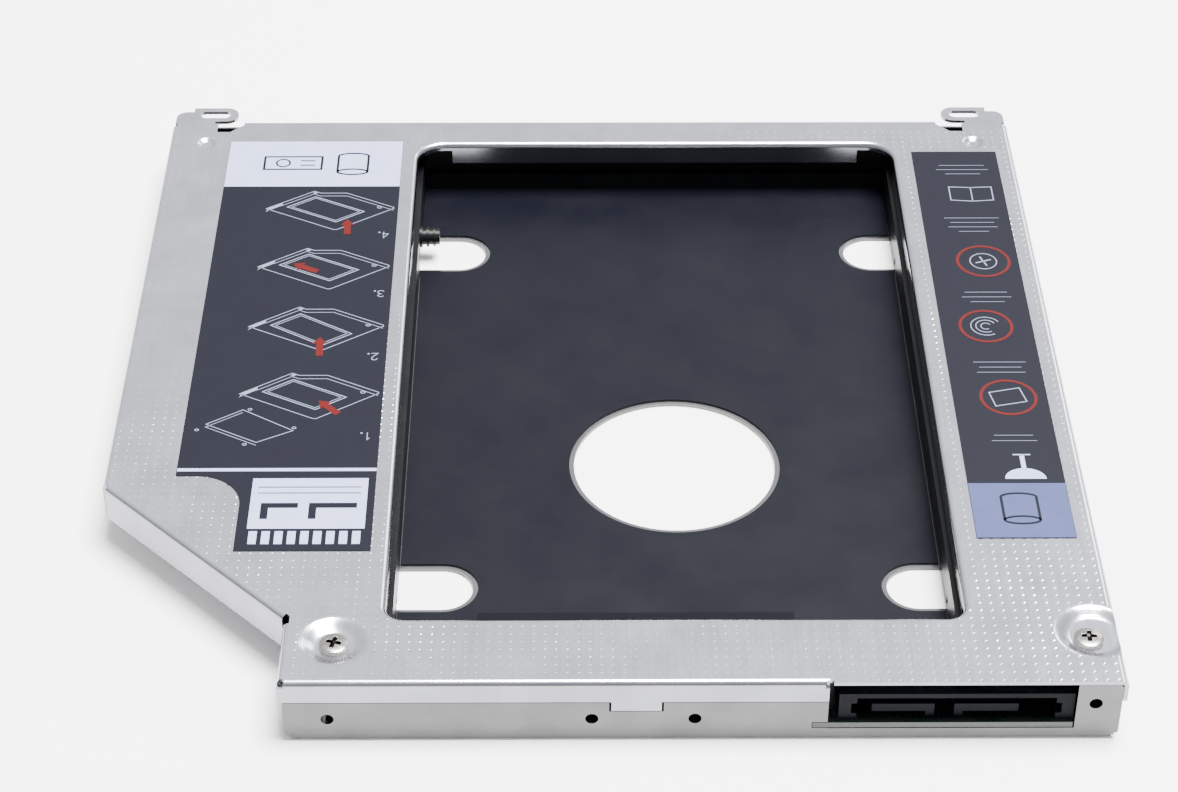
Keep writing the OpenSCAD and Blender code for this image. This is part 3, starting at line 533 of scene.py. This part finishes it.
class CADDY_OT_plastics(Operator):
    """Finishes the rails, the stop bar, the film and the connector housings"""

    bl_idname = "caddy.plastics"
    bl_label = "Finish the plastic parts"

    def execute(self, context):
        props = context.scene.caddy_plastic
        set_material(moulded_plastic("moulded_abs_rail", props.rail_colour,
                                     roughness=0.36, grain_mm=0.08, specular=0.2),
                     "left_rail", "right_rail", "stop_bar")
        set_material(moulded_plastic("moulded_lcp_housing", props.housing_colour,
                                     roughness=0.5, grain_mm=0.05, specular=0.06),
                     "bay_plug_housing", "drive_socket_housing")
        set_material(insulating_film(props.film_colour), "insulating_film")
        return {"FINISHED"}


class CADDY_OT_board(Operator):
    """Finishes the circuit board with its contacts, capacitors and standoffs"""

    bl_idname = "caddy.board"
    bl_label = "Finish the board"

    def execute(self, context):
        props = context.scene.caddy_board
        set_material(solder_mask(props.board_colour), "connector_board")
        set_material(plated_metal("gold_flash_contact", props.contact_colour, 0.22),
                     "bay_signal_contacts", "bay_power_contacts",
                     "drive_signal_contacts", "drive_power_contacts")
        set_material(matt_skin("fired_ceramic_chip", props.chip_colour, 0.55),
                     "board_capacitors")
        # The posts are given a near-black grey
        set_material(plated_metal("near_black_post", props.post_colour, 0.35),
                     "screw_post_left", "screw_post_right", "board_standoffs")
        return {"FINISHED"}


# ---------------------------------------------------------------- screws

# Turn of each cross, in degrees
CROSS_TURNS = {"cover_screw_left": 75.0, "cover_screw_right": 86.0, "board_screws": 10.0}


def screw_surface(props, low, high, turn):
    """Pan-head screw as a surface of revolution z(r) with a cross pressed into it: the
    crown is part of a flat rounded arch, and the recess is sunk where either arm's smooth
    step across its width and along its reach is above zero. With the shape comes how
    deep in the recess each point is, from 0 to 1."""
    x, y = (low[0] + high[0]) / 2, (low[1] + high[1]) / 2
    head = (high[0] - low[0]) / 2
    tall = props.head_height / MM
    seat = high[2] - tall
    reach, width = props.recess_reach / MM, props.recess_width / MM
    deep = props.recess_depth / MM
    soft_edge, first_ring, under_round, rim_height = 0.08, 0.02, 0.05, 0.3
    rim_share, shank_share, arch_power, run_out = 0.52, 0.51, 2.4, 0.6
    shank = head * shank_share
    r = np.linspace(first_ring, head, props.rings)[:, None]
    a = np.linspace(0, 2 * np.pi, props.turns, endpoint=False)
    arch = np.sqrt(np.clip(1 - (r / head) ** arch_power, 0, 1))
    crown = tall * (rim_share + (1 - rim_share) * arch)
    u = r * np.cos(a - math.radians(turn))
    v = r * np.sin(a - math.radians(turn))

    def arm(along, across):
        """Smooth step across the arm times the root of its run-out along it."""
        step = np.clip((width / 2 + soft_edge / 2 - np.abs(across)) / soft_edge, 0, 1)
        fall = np.clip((reach - np.abs(along)) / (reach * run_out), 0, 1)
        return step * step * (3 - 2 * step) * np.sqrt(fall)

    sunk = np.maximum(arm(u, v), arm(v, u))
    # Under the crown: the rim, its rounding, the seat and the shank's foot
    wall_r = np.array([head, head, head - under_round, shank, shank])[:, None]
    wall_z = np.array([rim_height, under_round, 0.0, 0.0, low[2] - seat])[:, None]
    radii = np.r_[r, wall_r]
    heights = np.r_[crown - deep * sunk, wall_z + np.zeros_like(a)]
    points = np.stack([x + radii * np.cos(a), y + radii * np.sin(a), seat + heights], -1)
    rows, cols = points.shape[:2]
    i = np.arange(rows - 1)[:, None] * cols
    j, k = np.arange(cols), (np.arange(cols) + 1) % cols
    quads = np.stack([i + j, i + k, i + k + cols, i + j + cols], -1).reshape(-1, 4)
    faces = quads[:, ::-1].tolist()
    # The first ring and the shank's foot are closed
    faces += [j.tolist(), ((rows - 1) * cols + j)[::-1].tolist()]
    # Depth of each point in the recess, from which the material paints shade into the
    # cross
    painted_shade_depth = np.r_[sunk, np.zeros((len(wall_r), cols))].ravel()
    return (points.reshape(-1, 3), faces), painted_shade_depth


class CADDY_OT_screws(Operator):
    """Makes the four cross-recess screws in place of the plain ones"""

    bl_idname = "caddy.screws"
    bl_label = "Make the screws"

    def execute(self, context):
        props = context.scene.caddy_screw
        steel = plated_metal("nickel_plated_screw", props.screw_colour, 0.24, recess=True)
        for name, turn in CROSS_TURNS.items():
            low, high = span(name)
            boxes = [(low, high)]
            if name == "board_screws":
                # One node holds both of them, a screw at each end of its box
                wide = high[1] - low[1]
                boxes = [(low, np.array([low[0] + wide, high[1], high[2]])),
                         (np.array([high[0] - wide, low[1], low[2]]), high)]
            made = [screw_surface(props, *box, turn) for box in boxes]
            piece = add_object(name + "_dressed", *joined([shape for shape, _ in made]),
                               "screw_steel")
            marks = piece.data.attributes.new("recess", "FLOAT", "POINT")
            painted_shade_depth = np.concatenate([depth for _, depth in made])
            marks.data.foreach_set("value", painted_shade_depth.astype(np.float32))
            piece.data.materials.append(steel)
            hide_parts(name)
        return {"FINISHED"}


# ---------------------------------------------------------------- labels

# Red and dark ink are printed over the others
INK_LAYERS = {"white": 0, "line": 0, "red": 1, "grey": 0, "dark": 1}
# Bare edge round a printed panel, in millimetres
PANEL_EDGE = 0.05
# Line widths that a bold line of an icon takes
BOLD = 3.0
# Strokes of the step numerals in a cell 0.6 wide and 1 high, and the cell's centre
NUMERALS = (
    ((0.15, 0.75), (0.35, 1.0), (0.35, 0.0)),
    ((0.02, 0.75), (0.15, 0.95), (0.35, 1.0), (0.55, 0.88), (0.55, 0.65), (0.4, 0.42),
     (0.0, 0.0), (0.6, 0.0)),
    ((0.02, 0.86), (0.2, 1.0), (0.42, 0.98), (0.56, 0.8), (0.46, 0.6), (0.25, 0.53),
     (0.5, 0.46), (0.6, 0.27), (0.46, 0.05), (0.2, 0.0), (0.0, 0.15)),
    ((0.44, 0.0), (0.44, 1.0), (0.0, 0.32), (0.6, 0.32)))
NUMERAL_CENTRE = (0.3, 0.5)
NUMERAL_HEIGHT = 1.5
# Each step: the drawing's front right corner, its arrow's tail and tip, and its
# numeral, in millimetres from the left label's left and front edges
STEPS_PRINTED = (
    ((6.8, 32.4), (20.4, 28.0), (17.6, 30.9), (24.6, 23.2)),
    ((6.7, 47.7), (17.0, 40.9), (16.8, 45.2), (24.6, 40.7)),
    ((6.8, 62.1), (15.4, 60.9), (11.8, 62.9), (24.7, 55.5)),
    ((6.8, 76.9), (19.1, 70.3), (18.9, 74.1), (24.6, 70.1)))
# The second step draws the window's part tilted by this much for each millimetre back
STEP_TILTS = (0.0, 0.009, 0.0, 0.0)
# The caddy that the steps draw, in case millimetres: its outline from the front right
# corner, and its window's left, front, right and rear edges
DRAWN_CASE = ((64, 0), (-38.5, 0), (-38.5, 11.8), (-64, 37.4), (-64, 122), (-61, 125),
              (61, 125), (64, 122))
DRAWN_WINDOW = (-22, 16, 38, 104)
# Its oblique view: label millimetres for one case millimetre to the left, and for one
# to the rear
SLANT_LEFT = (0.0663, 0.0449)
SLANT_REAR = (0.084, -0.0445)


class Ink:
    """One ink of one label: gathers its strips and plates, so that they become one
    piece. Places are in millimetres from the label's left front corner."""

    def __init__(self, props, label, layer):
        low, high = span(label)
        self.corner = low[:2]
        self.height, self.width = props.ink_height / MM, props.line_width / MM
        self.low = high[2] + layer * self.height
        self.shapes = []

    def line(self, path, closed=False, wide=1.0):
        """Strip along a path, so many line widths wide."""
        self.shapes.append(ribbon(self.corner + path, self.width * wide, self.low,
                                  self.low + self.height, closed))

    def fill(self, outline):
        """Plate inside an outline."""
        self.shapes.append(plate(self.corner + outline, self.low,
                                 self.low + self.height))

    def finish(self, name, material):
        """Makes the piece."""
        piece = add_object(name, *joined(self.shapes), "label_film", smooth=False)
        piece.data.materials.append(material)


def caddy_view(points, corner, tilt=0.0, sink=0.0):
    """Case points in an oblique view: from the corner, the way to the left times one
    slant and the way to the rear times the other, and down by the sink."""
    p = np.array(points, float)
    slant_rear = np.array(SLANT_REAR) - [0.0, tilt]
    return (corner + (DRAWN_CASE[0][0] - p[:, :1]) * SLANT_LEFT + p[:, 1:] * slant_rear
            - [0.0, sink])


def draw_step(thin, red, number):
    """One step of the fitting: the caddy, its window, the arrow and the numeral."""
    corner, tail, tip, numeral = np.array(STEPS_PRINTED[number])
    thin.line(caddy_view(DRAWN_CASE, corner), closed=True)
    wall_high, plug_high = 0.75, 0.7
    thin.line(caddy_view(DRAWN_CASE[:5], corner, sink=wall_high), wide=0.8)
    # The window's edge, and inset from it the edge of its flange
    left, front, right, rear = DRAWN_WINDOW
    for inset, wide in ((0.0, 1.3), (4.5, 0.8)):
        window = box_outline(right - inset, front + inset, left + inset, rear - inset)
        thin.line(caddy_view(window, corner, STEP_TILTS[number]), closed=True, wide=wide)
    plug = np.array([[63.5, 1], [30, 1]])
    thin.fill(np.r_[caddy_view(plug, corner),
                    caddy_view(plug[::-1], corner, sink=plug_high)][::-1])
    screw_pad = box_outline(-31, 3, -38, 8)
    thin.fill(caddy_view(screw_pad, corner)[::-1])
    ear = caddy_view([[-50, 108]], corner)[0]
    thin.line(arc(*ear, 0.3, 0, 345, 14, squash=0.75), closed=True)
    # Arrow: a shaft and a head about twice as wide
    shaft_half, head_half, head_long = 0.5, 1.05, 1.5
    ahead = (tip - tail) / np.linalg.norm(tip - tail)
    side = np.array([-ahead[1], ahead[0]])
    neck = tip - ahead * head_long
    shaft, barb = side * shaft_half, side * head_half
    red.fill(np.array([tail - shaft, neck - shaft, neck - barb, tip, neck + barb,
                       neck + shaft, tail + shaft]))
    # The label is read from the rear, so its numerals are turned round
    strokes = NUMERAL_HEIGHT * (np.array(NUMERAL_CENTRE) - NUMERALS[number])
    thin.line(numeral + strokes, wide=1.1)
    dot = numeral + [-0.85, 0.65]
    thin.fill(arc(*dot, 0.16, 0, 330, 12))


def drive_icon(ink, x, y, wide, high):
    """Drum of a drive: an ellipse, two sides and the far half of the other ellipse."""
    r, flat = wide / 2, 0.32
    ink.line(arc(x, y, r, 0, 354, 48, flat), closed=True, wide=BOLD)
    ink.line(np.r_[[[x - r, y]], arc(x, y + high, r, 180, 0, 25, flat), [[x + r, y]]],
             wide=BOLD)


def draw_left_label(inks, size):
    """Left label: rear panel, four step drawings, a rule, and the plug panel."""
    wide, deep = size
    white, thin, red, dark = (inks[key] for key in ("white", "line", "red", "dark"))
    panel_front, rule_front, rule_rear = 82.8, 15.9, 16.5
    white.fill(box_outline(PANEL_EDGE, panel_front, wide - PANEL_EDGE,
                           deep - PANEL_EDGE))
    white.fill(box_outline(2 * PANEL_EDGE, rule_front, wide - PANEL_EDGE, rule_rear))
    # Plug panel: its ground, nine bars in front of it and the drive's two keyed tongues
    plug_left, plug_front, plug_gap, plug_rear = 10.2, 4.3, 1.0, 14.4
    white.fill(box_outline(plug_left, plug_front, wide - plug_gap, plug_rear))
    bars, bar_left, bar_pitch = 9, 10.5, 1.65
    bar_wide, bar_front, bar_rear = 1.05, 1.3, 3.8
    for left in bar_left + bar_pitch * np.arange(bars):
        white.fill(box_outline(left, bar_front, left + bar_wide, bar_rear))
    key_wide, key_front, step_rear, tongue_rear = 1.0, 6.2, 8.4, 9.4
    for left, right in ((11.6, 16.4), (17.8, 24.0)):
        dark.fill([[left, tongue_rear], [left, key_front], [left + key_wide, key_front],
                   [left + key_wide, step_rear], [right, step_rear],
                   [right, tongue_rear]])
    for y in (11.4, 12.6):
        dark.line([[11.0, y], [24.4, y]], wide=1.6)
    # Rear panel: the drum of a drive, and a flat drive beside it
    drive_icon(dark, 18.9, 86.7, wide=4.5, high=4.3)
    dark.line(box_outline(5.6, 87.4, 14.2, 90.8), closed=True, wide=BOLD)
    dark.line(arc(8.4, 89.1, 1.0, 0, 352, 40), closed=True, wide=2.4)
    for y in (88.5, 89.7):
        dark.line([[11.0, y], [13.2, y]], wide=2.4)
    for number in range(len(STEPS_PRINTED)):
        draw_step(thin, red, number)
    # The loose drive of the first step: its outline, the thickness of its two near sides
    # and its four screws
    loose = np.array([[2.9, 25.8], [7.6, 28.9], [14.6, 24.4], [9.9, 21.9]])
    thickness = 0.6
    thin.line(loose, closed=True)
    thin.line(loose[[1, 0, 3]] - [0, thickness], wide=0.8)
    for x, y in ((1.8, 24.6), (8.5, 29.0), (14.7, 25.0), (8.4, 21.5)):
        thin.line(arc(x, y, 0.25, 0, 340, 12, squash=0.8), closed=True)


def draw_right_label(inks, size):
    """Right label: a panel with a drive, two leaves, three rings and plain rules."""
    white, thin, red, grey, dark = (inks[key] for key in INK_LAYERS)
    panel_rear = 10.9
    grey.fill(box_outline(PANEL_EDGE, PANEL_EDGE, size[0] - PANEL_EDGE, panel_rear))
    drive_icon(dark, 6.3, 3.5, wide=4.6, high=4.6)
    # Two leaves, drawn a little open
    fold_x, fold_front, fold_rear = 7.9, 76.4, 80.0
    thin.line([[4.7, 76.7], [fold_x, fold_front], [11.0, 76.7], [11.0, 80.2],
               [fold_x, fold_rear], [4.7, 80.2]], closed=True, wide=1.3)
    thin.line([[fold_x, fold_front], [fold_x, fold_rear]], wide=1.2)
    # Three rings, and in them a screw head, a coil and a tilted drive
    head, coil, drive = (7.7, 61.0), (6.3, 45.3), (7.5, 29.1)
    for middle, radius in ((head, 3.7), (coil, 3.6), (drive, 3.7)):
        red.line(arc(*middle, radius, 0, 355, 72), closed=True, wide=3.6)
    thin.line(arc(*head, 1.9, 0, 352, 40), closed=True, wide=1.2)
    for turn in (20.0, 110.0):
        thin.line(arc(*head, 1.2, turn, turn + 180, 2), wide=1.8)
    for radius in (0.7, 1.4, 2.1):
        thin.line(arc(*coil, radius, 30, 300, 40), wide=1.1)
    thin.line([[5.6, 27.2], [9.9, 28.2], [9.2, 31.2], [5.0, 30.2]], closed=True,
              wide=1.3)
    # Plain rules between the drawings: where a block starts, and its half lengths
    rule_middle, rule_pitch = 7.2, 1.15
    for rear, halves in ((86.0, (3.4, 3.9, 2.6)), (72.0, (4.0, 3.2, 3.6, 2.2)),
                         (53.4, (3.0, 3.5, 2.4)), (37.0, (3.6, 2.9, 3.3)),
                         (20.9, (2.6, 3.0))):
        for row, half in enumerate(halves):
            y = rear - rule_pitch * row
            thin.line([[rule_middle - half, y], [rule_middle + half, y]], wide=0.6)
    # Pan-head screw seen from its side: head, shank and foot
    white.fill(arc(7.75, 11.8, 2.7, 180, 0, 25, squash=0.8)[::-1])
    white.fill(box_outline(7.45, 13.9, 8.05, 16.6))
    white.line([[6.6, 16.8], [8.9, 16.8]], wide=1.4)


class CADDY_OT_labels(Operator):
    """Prints the two labels: grounds, panels, rules, drawings and step arrows"""

    bl_idname = "caddy.labels"
    bl_label = "Print the labels"

    def execute(self, context):
        props = context.scene.caddy_print
        set_material(matt_skin("laminated_label_ground", props.label_colour),
                     "left_label", "right_label")
        colours = {"white": props.ink_colour, "line": props.line_colour,
                   "red": props.accent_colour, "grey": props.panel_colour,
                   "dark": props.label_colour}
        skins = {key: matt_skin(key + "_offset_ink", colour)
                 for key, colour in colours.items()}
        for label, draw in (("left_label", draw_left_label),
                            ("right_label", draw_right_label)):
            low, high = span(label)
            inks = {key: Ink(props, label, layer) for key, layer in INK_LAYERS.items()}
            draw(inks, (high - low)[:2])
            for key, ink in inks.items():
                if ink.shapes:
                    ink.finish(f"{label}_{key}_print", skins[key])
        return {"FINISHED"}


# ---------------------------------------------------------------- stage

FLOOR_HALF = 4.0
# Softboxes that face the caddy: place and side in metres, power in watts, colour
SOFTBOXES = {
    "overhead_softbox": ((0.25, 0.05, 1.2), 0.6, 100.0, (1.0, 0.99, 0.98)),
    "rear_softbox": ((0.7, 1.2, 0.8), 0.5, 4.0, (0.97, 0.98, 1.0))}


class CADDY_OT_stage(Operator):
    """Sets the pale floor, the soft lights and the camera"""

    bl_idname = "caddy.stage"
    bl_label = "Set the stage"

    def execute(self, context):
        props = context.scene.caddy_stage
        scene = context.scene
        mesh = bpy.data.meshes.new("floor")
        corners = box_outline(-FLOOR_HALF, -FLOOR_HALF, FLOOR_HALF, FLOOR_HALF)
        mesh.from_pydata(np.c_[corners, np.zeros(4)].tolist(), [], [(0, 1, 2, 3)])
        # Matt paper: even, with no gleam
        mat, tree = new_material("matt_white_backdrop")
        finish_material(tree, {"Base Color": (*props.floor_colour, 1.0),
                               "Roughness": 0.8})
        mesh.materials.append(mat)
        floor = bpy.data.objects.new("floor", mesh)
        scene.collection.objects.link(floor)
        world = bpy.data.worlds.get("World") or bpy.data.worlds.new("World")
        scene.world = world
        world.use_nodes = True
        sky = world.node_tree.nodes.get("Background")
        sky.inputs["Color"].default_value = (*props.sky_colour, 1.0)
        sky.inputs["Strength"].default_value = props.sky_strength
        for name, (place, side, power, colour) in SOFTBOXES.items():
            data = bpy.data.lights.new(name, "AREA")
            data.shape, data.size, data.energy, data.color = "SQUARE", side, power, colour
            lamp = bpy.data.objects.new(name, data)
            lamp.location = place
            lamp.rotation_euler = (-Vector(place)).to_track_quat("-Z", "Y").to_euler()
            scene.collection.objects.link(lamp)
        set_camera(props)
        return {"FINISHED"}


def set_camera(props):
    """Camera from its pitch down, yaw and roll: forward is (0, cos p, -sin p) turned by
    the yaw about z, and right and down are turned about it by the roll."""
    pitch, yaw, roll = props.turn
    turn = np.array([[math.cos(yaw), -math.sin(yaw), 0],
                     [math.sin(yaw), math.cos(yaw), 0], [0, 0, 1]])
    ahead = turn @ np.array([0, math.cos(pitch), -math.sin(pitch)])
    right = turn @ np.array([1.0, 0, 0])
    down = turn @ np.array([0, -math.sin(pitch), -math.cos(pitch)])
    side = math.cos(roll) * right + math.sin(roll) * down
    down = -math.sin(roll) * right + math.cos(roll) * down
    data = bpy.data.cameras.new("camera")
    data.sensor_fit, data.sensor_width = "HORIZONTAL", SENSOR
    data.lens = props.lens
    data.clip_start, data.clip_end = 0.01, 20.0
    eye = bpy.data.objects.new("camera", data)
    eye.matrix_world = Matrix.Translation(Vector(props.place)) @ Matrix(
        np.stack([side, -down, -ahead], 1).tolist()).to_4x4()
    bpy.context.scene.collection.objects.link(eye)
    bpy.context.scene.camera = eye


# ---------------------------------------------------------------- add-on

STEPS = (CADDY_OT_sheet, CADDY_OT_plastics, CADDY_OT_board, CADDY_OT_screws,
         CADDY_OT_labels, CADDY_OT_stage)
GROUPS = {"caddy_sheet": CaddySheet, "caddy_plastic": CaddyPlastic,
          "caddy_board": CaddyBoard, "caddy_screw": CaddyScrew,
          "caddy_print": CaddyPrint, "caddy_stage": CaddyStage}


class CADDY_PT_panel(Panel):
    """Lists the steps that dress the caddy"""

    bl_idname = "CADDY_PT_panel"
    bl_label = "Laptop drive caddy"
    bl_space_type = "VIEW_3D"
    bl_region_type = "UI"
    bl_category = "Caddy"

    def draw(self, context):
        for step in STEPS:
            self.layout.operator(step.bl_idname)
        for group in GROUPS:
            box = self.layout.box()
            props = getattr(context.scene, group)
            for key in props.bl_rna.properties.keys():
                if key not in ("rna_type", "name"):
                    box.prop(props, key)


def register():
    """Registers the classes and hangs the property groups on the scene."""
    for cls in (*GROUPS.values(), *STEPS, CADDY_PT_panel):
        bpy.utils.register_class(cls)
    for key, cls in GROUPS.items():
        setattr(bpy.types.Scene, key, PointerProperty(type=cls))


def unregister():
    """Undoes register."""
    for key in GROUPS:
        delattr(bpy.types.Scene, key)
    for cls in (*GROUPS.values(), *STEPS, CADDY_PT_panel)[::-1]:
        bpy.utils.unregister_class(cls)


def main():
    """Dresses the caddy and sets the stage."""
    register()
    bpy.ops.caddy.sheet()
    bpy.ops.caddy.plastics()
    bpy.ops.caddy.board()
    bpy.ops.caddy.screws()
    bpy.ops.caddy.labels()
    bpy.ops.caddy.stage()


if __name__ == "__main__":
    main()
